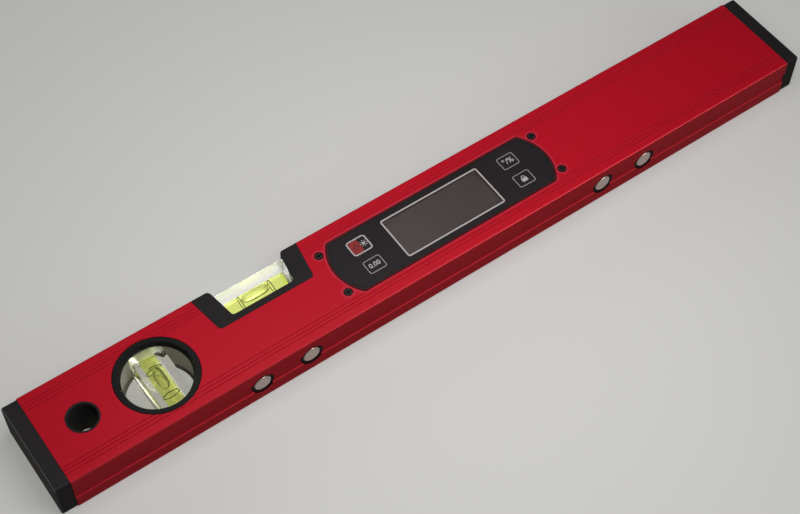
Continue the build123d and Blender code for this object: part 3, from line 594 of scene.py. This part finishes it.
def vial_spirit(name, tint, glow, density):
    """Dyed spirit: a bright yellow green that deepens with its thickness, with a faint glow that is partly
    the dye's fluorescence and partly painted light.
    """
    material, add, place = start_material(name)
    swirl = add("TexNoise", {"Vector": place, "Scale": per(5), "Detail": 1.0})
    deep = shade(tint, 0.96)
    tone = add("Mix", {"Factor": swirl, "A": tint, "B": deep}, data_type="RGBA")
    fluid = add(
        "BsdfPrincipled",
        {
            "Base Color": tone,
            "Roughness": 0.0,
            "IOR": 1.0,
            "Transmission Weight": 1.0,
            "Emission Color": tint,
            "Emission Strength": glow,
        },
    )
    depth = add("VolumeAbsorption", {"Color": tint, "Density": density})
    return close_material(material, see_through(add, fluid, tint), depth)


def bubble_air():
    """Air in the spirit: clear in the middle, with a dark rim where its wall turns the light away."""
    material, add, place = start_material("air bubble, clear")
    soft = add("TexNoise", {"Vector": place, "Scale": per(3)})
    gloss = add("MapRange", {"Value": soft, "To Max": 0.02})
    air = add("BsdfGlass", {"Color": WHITE, "Roughness": gloss, "IOR": 0.73})
    return close_material(material, see_through(add, air, WHITE))


def metal(name, tint, low, high, grit, metallic=1.0, shade_mask=None):
    """Plated or blackened metal: its gloss broken up by fine wear, and black painted shade where a mask is
    given.

    Low and high are the least and the most roughness, grit is the size of the wear in millimetres.
    """
    material, add, place = start_material(name)
    wear = add("TexNoise", {"Vector": place, "Scale": per(grit), "Detail": 5.0})
    tone = add("Mix", {"Factor": wear, "A": shade(tint, 0.8), "B": tint}, data_type="RGBA")
    gloss = add("MapRange", {"Value": wear, "To Min": low, "To Max": high})
    if shade_mask:
        # Painted shade: black and rough where the mask lies
        mask, black = shade_mask(add, place), linear("020202")
        tone = add("Mix", {"Factor": mask, "A": tone, "B": black}, data_type="RGBA")
        gloss = add("Mix", {"Factor": mask, "A": gloss, "B": 0.8})
    shader = add("BsdfPrincipled", {"Base Color": tone, "Metallic": metallic, "Roughness": gloss})
    return close_material(material, shader)


def screen_print(name, tint):
    """Screen-printed ink: flat and matt, its cover slightly uneven where the mesh laid it down."""
    material, add, place = start_material(name)
    cover = add("TexNoise", {"Vector": place, "Scale": per(0.5), "Detail": 2.0})
    tone = add("Mix", {"Factor": cover, "A": shade(tint, 0.82), "B": tint}, data_type="RGBA")
    return close_material(material, add("BsdfPrincipled", {"Base Color": tone, "Roughness": 0.55}))


def resting_display(tint):
    """Display glass at rest: a grey brown that shifts a little across the face."""
    material, add, place = start_material("display glass, at rest")
    low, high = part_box("lcd_panel")
    across = add("SeparateXYZ", {0: place}, "X")
    slope = add("MapRange", {"Value": across, "From Min": low.x, "From Max": high.x})
    cloud = add("TexNoise", {"Vector": place, "Scale": per(45), "Detail": 1.0})
    shift = add("Math", {0: cloud, 1: 0.4, 2: slope}, operation="MULTIPLY_ADD")
    tone = add("Mix", {"Factor": shift, "A": tint, "B": shade(tint, 0.72)}, data_type="RGBA")
    return close_material(material, add("BsdfPrincipled", {"Base Color": tone, "Roughness": 0.3}))


def layered_silicone():
    """Contact strip: thin layers of carbon-filled and clear silicone, side by side along the level."""
    material, add, place = start_material("silicone strip, layered")
    # A wave turns 20 radians in a unit of its scale, so a pair of layers takes 2.5 mm: coarser than real,
    # so that it shows
    waves = {"Vector": place, "Scale": per(0.4) / 20, "Distortion": 0.2}
    layers = add("TexWave", waves, "Fac", bands_direction="X")
    carbon, clear = linear("2B2422"), linear("C98B86")
    tone = add("Mix", {"Factor": layers, "A": carbon, "B": clear}, data_type="RGBA")
    return close_material(material, add("BsdfPrincipled", {"Base Color": tone, "Roughness": 0.6}))


def solder_mask():
    """Glass-fibre board under green solder mask: glossy, with paler tracks under the mask."""
    material, add, place = start_material("glass-fibre board, green solder mask")
    tracks = add(
        "TexBrick",
        {
            "Vector": place,
            "Scale": per(9),
            "Color1": linear("12432A"),
            "Color2": linear("17502F"),
            "Mortar": linear("2C7A4A"),
            "Mortar Size": 0.03,
        },
    )
    shader = add("BsdfPrincipled", {"Base Color": tracks, "Roughness": 0.32})
    return close_material(material, shader)


def studio_floor(pale):
    """Matt floor, seen from above only: it takes the shadow and looks even and pale.

    Clear pieces show it pale too, and gloss shows it dim, as it is close under the level.
    """
    material, add, place = start_material("studio floor, matt")
    cloud = add("TexNoise", {"Vector": place, "Scale": per(900)})
    tone = add("Mix", {"Factor": cloud, "A": shade(pale, 0.97), "B": pale}, data_type="RGBA")
    matt = add("BsdfDiffuse", {"Color": tone})
    glow = add("Emission", {"Color": tone, "Strength": FLOOR_GLOW})
    even = add("MixShader", {0: FLOOR_SHARE, 1: matt, 2: glow})
    through = add("Emission", {"Color": tone, "Strength": FLOOR_THROUGH})
    warm = (pale[0], pale[1] * 0.97, pale[2] * 0.9, 1.0)
    dim = add("Emission", {"Color": warm, "Strength": FLOOR_IN_GLOSS})
    path = add("LightPath").node.outputs
    lit = add("MixShader", {0: path["Is Glossy Ray"], 1: even, 2: dim})
    lit = add("MixShader", {0: path["Is Transmission Ray"], 1: lit, 2: through})
    below = add("NewGeometry", pick="Backfacing")
    gone = add("BsdfTransparent")
    return close_material(material, add("MixShader", {0: below, 1: lit, 2: gone}))


# Pieces


class LEVEL_OT_section(bpy.types.Operator):
    """Gives the aluminium section its satin red coat"""

    bl_idname = "level.section"
    bl_label = "Section"

    def execute(self, context):
        dress(satin_red_aluminium(tuple(context.scene.level_colours.section)), "body_profile")
        return {"FINISHED"}


class LEVEL_OT_mouldings(bpy.types.Operator):
    """Gives the black plastic pieces their moulded grain"""

    bl_idname = "level.mouldings"
    bl_label = "Mouldings"

    def execute(self, context):
        colours = context.scene.level_colours
        tint, grain = tuple(colours.moulding), (0.42, 0.62, 0.4)
        # The caps' corner rounds are painted paler: a painted highlight
        highlit = (linear("605C5E"), highlit_corner)
        caps = moulded_abs("ABS, moulded, rubbed corners", tuple(colours.cap), 0.4, 0.58, 0.4, highlit)
        dress(caps, "left_end_cap", "right_end_cap")
        grained = moulded_abs("ABS, moulded, fine grain", tint, *grain)
        dress(grained, "hang_bush_front", "hang_bush_rear", "vial_cradle", "battery_box", "battery_door")
        pale = (tuple(colours.sight_wall), sight_wall)
        bezel = moulded_abs("ABS, moulded, pale sight wall", tuple(colours.bezel), *grain, pale)
        dress(bezel, "plumb_bezel_front", "plumb_bezel_rear")
        # The window wall takes the display's colour, painted light over its shade, and the seat rim a
        # painted reflection of the red
        fields = ((tuple(colours.display), window_rim), (linear("3B1819"), seat_rim))
        framed = moulded_abs("ABS, moulded, grey display frame", tint, *grain, *fields)
        dress(framed, "display_housing")
        dress(moulded_abs("nylon, moulded, smooth", tint, 0.3, 0.45, 0.6), "magnet_cups")
        return {"FINISHED"}


def turned_solid(stations, centre, along):
    """Draws a round solid ring by ring from places and radii on its axis, along X (0) or Y (1)."""
    begin()
    bpy.ops.mesh.primitive_circle_add(vertices=64, radius=stations[0][1], fill_type="NGON")
    edit_all()
    bpy.ops.transform.translate(value=(0, 0, stations[0][0]))
    for (place, radius), (next_place, next_radius) in zip(stations, stations[1:]):
        bpy.ops.mesh.extrude_region_move(TRANSFORM_OT_translate={"value": (0, 0, next_place - place)})
        bpy.ops.transform.resize(value=(next_radius / radius, next_radius / radius, 1))
    bpy.ops.object.mode_set(mode="OBJECT")
    piece = bpy.context.object
    piece.rotation_euler = (0, pi / 2, 0) if along == 0 else (-pi / 2, 0, 0)
    piece.location = centre


def barrel_stations(half, radius, crown):
    """A crowned barrel from end to end: widest in the middle."""
    return [(half * s / 8, radius - crown * (s / 8) ** 2) for s in range(-8, 9)]


def bubble_stations(half, radius, fullness, point):
    """A long bubble from tip to tip: its flanks fuller or more pointed."""
    spots = [-1, -0.985, -0.95, -0.9, -0.83, -0.74, -0.62, -0.48, -0.32, -0.15]
    spots = spots + [0] + [-s for s in reversed(spots)]
    return [(half * s, max(0.06 * MM, radius * (1 - abs(s) ** fullness) ** point)) for s in spots]


def dress_vial(prefix, along, gap, finishes, bubble, drift=0.0, lean=0.0, pressed=False):
    """Makes a vial's clear block, spirit and bubble, and colours its rings and plug.

    The vial lies along X (0) or Y (1). Its bubble is given by a length, the fullness of the flanks and the
    point, drifts along the vial and leans to a side. A pressed block stands off its neighbours.
    """
    clear, spirit, air, ring_ink, plug = finishes
    low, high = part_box(prefix + "_vial_fluid")
    centre = (low + high) / 2
    half = (high[along] - low[along]) / 2
    radius = (high.z - low.z) / 2

    def in_bore(spot):
        off = spot - centre
        off[along] = 0
        return off.length < radius + 2 * gap

    copy_node(prefix + "_vial_block")
    edit_faces(in_bore)
    bpy.ops.mesh.delete(type="FACE")
    bpy.ops.mesh.select_mode(type="EDGE")
    bpy.ops.mesh.select_non_manifold()
    bpy.ops.mesh.edge_face_add()
    if pressed:
        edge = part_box(prefix + "_vial_block")
        for side, step in ((0, gap), (1, -gap)):
            edit_faces(lambda spot: abs(spot.z - edge[side].z) < gap / 2)
            bpy.ops.transform.translate(value=(0, 0, step))
    block = finish_piece(prefix + "_vial_block_clear", clear, "level", smooth=25.0)
    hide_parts(prefix + "_vial_block")

    turned_solid(barrel_stations(half - 2 * gap, radius - gap, BARREL_CROWN), centre, along)
    fluid = finish_piece(prefix + "_vial_spirit", spirit, "level")
    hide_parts(prefix + "_vial_fluid")

    bubble_length, fullness, point = bubble
    spot = centre.copy()
    rest = radius - BUBBLE_RADIUS - 4 * gap
    spot.z += rest * cos(lean)
    spot[1 - along] += rest * sin(lean)
    spot[along] += drift
    turned_solid(bubble_stations(bubble_length / 2, BUBBLE_RADIUS, fullness, point), spot, along)
    finish_piece(prefix + "_vial_bubble", air, "level", smooth=80.0)

    dress(ring_ink, prefix + "_vial_rings")
    dress(plug, prefix + "_vial_plug")


class LEVEL_OT_vials(bpy.types.Operator):
    """Makes the level vial and the plumb vial with their windows"""

    bl_idname = "level.vials"
    bl_label = "Vials"

    def execute(self, context):
        colours, sizes = context.scene.level_colours, context.scene.level_sizes
        tint, dye, gap = tuple(colours.acrylic), tuple(colours.fluid), sizes.glass_gap
        # The level's spirit has the stronger glow, painted light in part; the plumb's is a shaded copy with
        # less glow and more depth, painted shade from its bezels
        bright = vial_spirit("dyed spirit, clear", dye, 0.16, 45.0)
        shaded = vial_spirit("dyed spirit, clear, shaded", dye, 0.04, 70.0)
        shared = (
            bubble_air(),
            screen_print("ring enamel, black", linear("121212")),
            moulded_abs("polyethylene, moulded, natural", linear("D2D6AE"), 0.35, 0.5, 0.8),
        )
        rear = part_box("level_vial_block")[0].z + 0.5 * MM
        lying = cast_acrylic(
            "acrylic, polished, sawn ends and top, matt rear", tint, 0.0, (1.0, 1.0, 0.0), matt_below=rear
        )
        low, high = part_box("plumb_vial_plug")
        plugged = (low.y, (low.z + high.z) / 2)
        standing = cast_acrylic("acrylic, polished, sawn ends", tint, 0.0, (0.0, 1.0, 0.0), glued=plugged)
        dress_vial("level", 0, gap, (lying, bright, *shared), (sizes.level_bubble, 3.4, 0.6), lean=0.7)
        dress_vial(
            "plumb",
            1,
            gap,
            (standing, shaded, *shared),
            (sizes.plumb_bubble, 3.2, 0.55),
            drift=1.4 * MM,
            pressed=True,
        )
        dress(cast_acrylic("acrylic, polished", tint, 0.01), "plumb_window_front", "plumb_window_rear")
        return {"FINISHED"}


def outline_ring(name, middle, field, line, rise, material, body):
    """Prints a line round a field about the middle, inside the field's width, height and corner."""
    width, height, corner = field
    begin()
    bpy.ops.mesh.primitive_plane_add(size=1, location=middle)
    edit_all()
    bpy.ops.transform.resize(value=(width, height, 1))
    bpy.ops.mesh.bevel(offset=corner, segments=8, affect="VERTICES")
    bpy.ops.mesh.select_all(action="SELECT")
    bpy.ops.mesh.inset(thickness=line, depth=0)
    bpy.ops.mesh.delete(type="FACE")
    bpy.ops.mesh.select_all(action="SELECT")
    bpy.ops.mesh.extrude_region_move(TRANSFORM_OT_translate={"value": (0, 0, rise)})
    finish_piece(name, material, body)


def shift_sign(spot):
    """Moves a flat part of a printed sign from the origin to its spot and leaves edit mode."""
    bpy.ops.mesh.select_all(action="SELECT")
    bpy.ops.transform.translate(value=(*spot, 0))
    bpy.ops.object.mode_set(mode="OBJECT")


def bar_sign(spot, width, height, turn=0.0):
    """A flat bar of a printed sign, turned about the sign's middle at the origin."""
    begin()
    bpy.ops.mesh.primitive_plane_add(size=1)
    edit_all()
    bpy.ops.transform.resize(value=(width, height, 1))
    bpy.ops.mesh.bevel(offset=0.2 * min(width, height), segments=3, affect="VERTICES")
    shift_sign(spot)
    bpy.context.object.rotation_euler.z = turn
    bpy.ops.object.transform_apply(rotation=True)
    return bpy.context.object


def arc_sign(spot, outer, line, keep):
    """A flat ring of a printed sign about a spot, without the faces whose corners all fail the test."""
    begin()
    bpy.ops.mesh.primitive_circle_add(vertices=48, radius=outer, fill_type="NGON")
    edit_all()
    bpy.ops.mesh.inset(thickness=line, depth=0)
    bpy.ops.mesh.delete(type="FACE")
    edit_faces(lambda corner: not keep(corner))
    bpy.ops.mesh.delete(type="FACE")
    shift_sign(spot)
    return bpy.context.object


def disc_sign(radius):
    """A flat round dot in the middle of a printed sign."""
    begin()
    bpy.ops.mesh.primitive_circle_add(vertices=32, radius=radius, fill_type="NGON")
    edit_all()
    bpy.ops.mesh.inset(thickness=radius * 0.4, depth=0)
    bpy.ops.object.mode_set(mode="OBJECT")
    return bpy.context.object


def print_sign(name, parts, middle, rise, material, body):
    """Joins a sign's flat parts, gives them the ink's thickness and prints them on a key."""
    begin()
    for part in parts:
        part.select_set(True)
    bpy.context.view_layer.objects.active = parts[0]
    if len(parts) > 1:
        bpy.ops.object.join()
    edit_all()
    bpy.ops.mesh.normals_make_consistent(inside=False)
    bpy.ops.mesh.extrude_region_move(TRANSFORM_OT_translate={"value": (0, 0, rise)})
    bpy.ops.object.mode_set(mode="OBJECT")
    parts[0].location = middle
    finish_piece(name, material, body)


def print_figures(name, figures, size, middle, rise, material, body):
    """Prints plain figures on a key."""
    begin()
    bpy.ops.object.text_add()
    text = bpy.context.object
    text.data.body = figures
    text.data.size = size
    text.data.align_x, text.data.align_y = "CENTER", "CENTER"
    text.data.offset = 0.05 * MM
    text.data.extrude = rise / 2
    bpy.ops.object.convert(target="MESH")
    text.location = (middle[0], middle[1], middle[2] + rise / 2)
    finish_piece(name, material, body)


class LEVEL_OT_legends(bpy.types.Operator):
    """Prints the outlines and signs of the four keys"""

    bl_idname = "level.legends"
    bl_label = "Key legends"

    def execute(self, context):
        colours, sizes = context.scene.level_colours, context.scene.level_sizes
        ink = screen_print("screen print, grey", tuple(colours.key_ink))
        bright = screen_print("screen print, pale grey", tuple(colours.ink))
        rise = sizes.print_rise
        spots = {}
        for key in KEYS:
            low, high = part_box("key_" + key)
            spots[key] = ((low.x + high.x) / 2, (low.y + high.y) / 2, high.z)
            look = (KEY_FIELD, sizes.key_line, rise, ink)
            if key == "power":
                look = (POWER_FIELD, sizes.power_line, rise, bright)
            outline_ring(f"key_{key}_outline", spots[key], *look, key + "_key")
        # Power key: a thin red field under the on and off sign, and the sign for the light beside it
        red = screen_print("screen print, red", tuple(colours.key_red))
        left, right, line = -1.75 * MM, 2.35 * MM, 0.36 * MM
        field = bar_sign((left, 0), 4.8 * MM, 6.9 * MM)
        print_sign("key_power_field", [field], spots["power"], rise * 0.5, red, "power_key")
        dark = screen_print("screen print, black", linear("2A0E10"))
        sign = [
            arc_sign((left, -0.1 * MM), 1.35 * MM, line, lambda corner: corner.y < 0.75 * MM),
            bar_sign((left, 0.75 * MM), line, 1.7 * MM),
        ]
        print_sign("key_power_sign", sign, spots["power"], rise, dark, "power_key")
        beside = (spots["power"][0] + right, *spots["power"][1:])
        rays = [bar_sign((0, 1.45 * MM), line, 0.7 * MM, turn * pi / 4) for turn in range(8)]
        print_sign("key_light_sign", [disc_sign(0.75 * MM), *rays], beside, rise, bright, "power_key")
        # Zero key: a plain zero reading. Mode key: degrees and per cent. Hold key: a closed lock.
        print_figures("key_zero_sign", "0.00", 3.3 * MM, spots["zero"], rise, bright, "zero_key")
        print_figures("key_mode_sign", "\u00b0/%", 4.2 * MM, spots["mode"], rise, bright, "mode_key")
        leg, line = 0.85 * MM, 0.4 * MM
        lock = [
            bar_sign((0, -0.55 * MM), 3.0 * MM, 2.1 * MM),
            arc_sign((0, 0.75 * MM), 1.05 * MM, line, lambda corner: corner.y > -0.05 * MM),
            bar_sign((-leg, 0.6 * MM), line, 0.5 * MM),
            bar_sign((leg, 0.6 * MM), line, 0.5 * MM),
        ]
        print_sign("key_hold_sign", lock, spots["hold"], rise, bright, "hold_key")
        return {"FINISHED"}


class LEVEL_OT_panel(bpy.types.Operator):
    """Makes the display panel: film, window, display and the line round it"""

    bl_idname = "level.panel"
    bl_label = "Display panel"

    def execute(self, context):
        colours, sizes = context.scene.level_colours, context.scene.level_sizes
        film = moulded_abs("polycarbonate film, matt", tuple(colours.film), 0.38, 0.5, 0.3)
        dress(film, "overlay_film", *("key_" + key for key in KEYS))
        dress(resting_display(tuple(colours.display)), "lcd_panel")

        low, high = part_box("display_lens")
        copy_node("display_lens")
        edit_faces(lambda spot: spot.z < low.z + 0.1 * MM)
        bpy.ops.transform.translate(value=(0, 0, sizes.glass_gap))
        coated = cast_acrylic("acrylic, hard coated", linear("F9F9FB"), 0.02)
        lens = finish_piece("display_lens_clear", coated, "level", smooth=25.0)
        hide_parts("display_lens")
        ink = screen_print("screen print, light grey", tuple(colours.ink))
        spot = ((low.x + high.x) / 2, (low.y + high.y) / 2, high.z)
        field = (high.x - low.x, high.y - low.y, 1.2 * MM)
        outline_ring("display_outline", spot, field, sizes.frame_line, sizes.print_rise, ink, "level")
        return {"FINISHED"}


class LEVEL_OT_metalwork(bpy.types.Operator):
    """Gives the magnets, screws and contacts their metal"""

    bl_idname = "level.metalwork"
    bl_label = "Metalwork"

    def execute(self, context):
        dress(nickel_magnet(tuple(context.scene.level_colours.magnet)), "base_magnets")
        blackened = (linear("383334"), 0.3, 0.5, 0.5, 0.4)
        dress(metal("steel, blackened, grimy", *blackened, screw_recess_shade), "module_screws")
        dress(metal("steel, blackened", *blackened), "board_screws")
        spring = metal("spring steel, nickel plated", linear("C3BEB4"), 0.2, 0.35, 0.6)
        dress(spring, "contact_positive", "contact_negative", "contact_bridge")
        return {"FINISHED"}


class LEVEL_OT_electronics(bpy.types.Operator):
    """Gives the board, its parts and the cells their finishes"""

    bl_idname = "level.electronics"
    bl_label = "Electronics"

    def execute(self, context):
        dress(solder_mask(), "circuit_board")
        chip = moulded_abs("epoxy, moulded", linear("19191B"), 0.45, 0.6, 0.5)
        dress(chip, "tilt_sensor", "controller_chip", "tact_switches")
        dress(layered_silicone(), "contact_strips")
        button = moulded_abs("polyacetal, moulded", linear("BFBDB8"), 0.35, 0.5, 0.5)
        dress(button, *("plunger_" + key for key in KEYS))
        dress(moulded_abs("cell jacket, printed", linear("2E3B52"), 0.2, 0.32, 0.9), "battery_cells")
        return {"FINISHED"}


def soft_lamp(name, spot, width, height, watts):
    """A soft lamp of an oval shape that faces the level and isn't seen itself."""
    begin()
    bpy.ops.object.light_add(type="AREA", location=spot)
    lamp = bpy.context.object
    lamp.name = name + "_lamp"
    lamp.visible_camera = False
    # The lamp below lights the back face and isn't to show in any gloss
    lamp.visible_glossy = name != "underside"
    lamp.data.shape = "ELLIPSE"
    lamp.data.size, lamp.data.size_y = width, height
    lamp.data.energy = watts
    aim = LAMP_AIM - lamp.location
    lamp.rotation_euler = aim.to_track_quat("-Z", "Y").to_euler()


def studio_world(strength, pale):
    """Even light from all sides, with a pale backdrop that shows to the camera and through clear pieces."""
    world = bpy.data.worlds.new("studio")
    world.use_nodes = True
    world.node_tree.nodes.clear()
    add = partial(add_node, world.node_tree)
    sky = add("Background", {"Color": WHITE, "Strength": strength})
    backdrop = add("Background", {"Color": pale, "Strength": BACKDROP})
    path = add("LightPath").node.outputs
    # A ray that has met anything but clear pieces sees the sky, so the backdrop lights nothing
    turns = add("Math", {0: path["Diffuse Depth"], 1: path["Glossy Depth"]}, operation="ADD")
    direct = add("Math", {0: turns, 1: 0.5}, operation="LESS_THAN")
    clear = add("Math", {0: path["Is Transmission Ray"], 1: direct}, operation="MULTIPLY")
    share = add("Math", {0: path["Is Camera Ray"], 1: clear}, operation="MAXIMUM")
    seen = add("MixShader", {0: share, 1: sky, 2: backdrop})
    add("OutputWorld", {"Surface": seen})
    return world


class LEVEL_OT_stage(bpy.types.Operator):
    """Sets the floor, the soft studio light and the camera"""

    bl_idname = "level.stage"
    bl_label = "Stage"

    def execute(self, context):
        scene, stage = context.scene, context.scene.level_stage
        pale = tuple(scene.level_colours.floor)
        begin()
        bpy.ops.mesh.primitive_plane_add(size=FLOOR_SIZE, location=(0, 0, cad_box[0].z - 0.05 * MM))
        floor = context.object
        floor.name = "studio_floor"
        floor.data.materials.append(studio_floor(pale))
        floor.visible_diffuse = False
        floor.visible_shadow = False

        for name, (spot, width, height) in LAMPS.items():
            soft_lamp(name, spot, width, height, getattr(stage, name))
        scene.world = studio_world(stage.sky, pale)

        begin()
        bpy.ops.object.camera_add()
        camera = context.object
        across = CAMERA_LOOK.cross(CAMERA_UP).normalized()
        turn = Matrix((across, across.cross(CAMERA_LOOK), -CAMERA_LOOK)).transposed()
        camera.matrix_world = Matrix.Translation(CAMERA_SPOT) @ turn.to_4x4()
        camera.data.sensor_fit = "HORIZONTAL"
        camera.data.sensor_width = 36.0
        camera.data.lens = stage.lens
        camera.data.clip_start, camera.data.clip_end = 0.01, 50.0
        scene.camera = camera
        scene.view_settings.view_transform = "Standard"
        return {"FINISHED"}


class LEVEL_PT_tools(bpy.types.Panel):
    """Lists the level's settings and its pieces in the order they are made"""

    bl_idname = "LEVEL_PT_tools"
    bl_label = "Digital spirit level"
    bl_space_type = "VIEW_3D"
    bl_region_type = "UI"
    bl_category = "Level"

    def draw(self, context):
        for settings, group in SETTINGS.items():
            box = self.layout.box()
            for name in group.__annotations__:
                box.prop(getattr(context.scene, settings), name)
        for operator in OPERATORS:
            self.layout.operator(operator.bl_idname)


OPERATORS = (
    LEVEL_OT_section,
    LEVEL_OT_mouldings,
    LEVEL_OT_vials,
    LEVEL_OT_panel,
    LEVEL_OT_legends,
    LEVEL_OT_metalwork,
    LEVEL_OT_electronics,
    LEVEL_OT_stage,
)
SETTINGS = {"level_colours": LevelColours, "level_sizes": LevelSizes, "level_stage": LevelStage}
CLASSES = (*SETTINGS.values(), *OPERATORS, LEVEL_PT_tools)


def register():
    for made in CLASSES:
        bpy.utils.register_class(made)
    for name, group in SETTINGS.items():
        setattr(bpy.types.Scene, name, PointerProperty(type=group))


def unregister():
    for name in SETTINGS:
        delattr(bpy.types.Scene, name)
    for made in reversed(CLASSES):
        bpy.utils.unregister_class(made)


def main():
    register()
    bpy.ops.level.section()
    bpy.ops.level.mouldings()
    bpy.ops.level.vials()
    bpy.ops.level.panel()
    bpy.ops.level.legends()
    bpy.ops.level.metalwork()
    bpy.ops.level.electronics()
    bpy.ops.level.stage()


if __name__ == "__main__":
    main()
